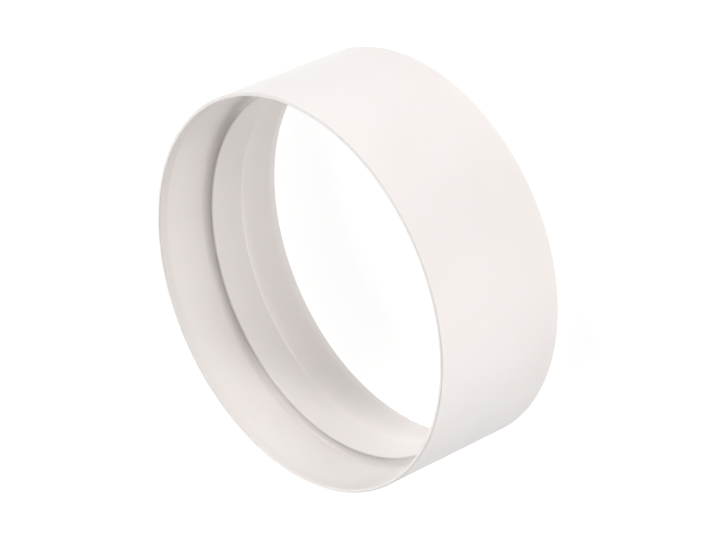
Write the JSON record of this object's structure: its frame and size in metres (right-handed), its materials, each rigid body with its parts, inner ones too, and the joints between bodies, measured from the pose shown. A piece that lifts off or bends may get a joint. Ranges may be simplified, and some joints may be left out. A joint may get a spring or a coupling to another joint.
{
  "type": "duct connector",
  "caption": "Short straight round plastic sleeve with a socket in each mouth and a raised stop ring between them, for joining round ventilation ducts end to end.",
  "frame": {"origin": "centre of the lower rim, on the surface that the sleeve stands on", "axes": "+Z along the sleeve's axis, from the lower mouth to the upper mouth; X and Y are across it and alike"},
  "size_m": [0.105, 0.105, 0.04],
  "materials": {
    "white_plastic": "smooth moulded warm white plastic, satin"
  },
  "bodies": {
    "root": {"coupling_sleeve": "white_plastic"}
  },
  "joints": []
}
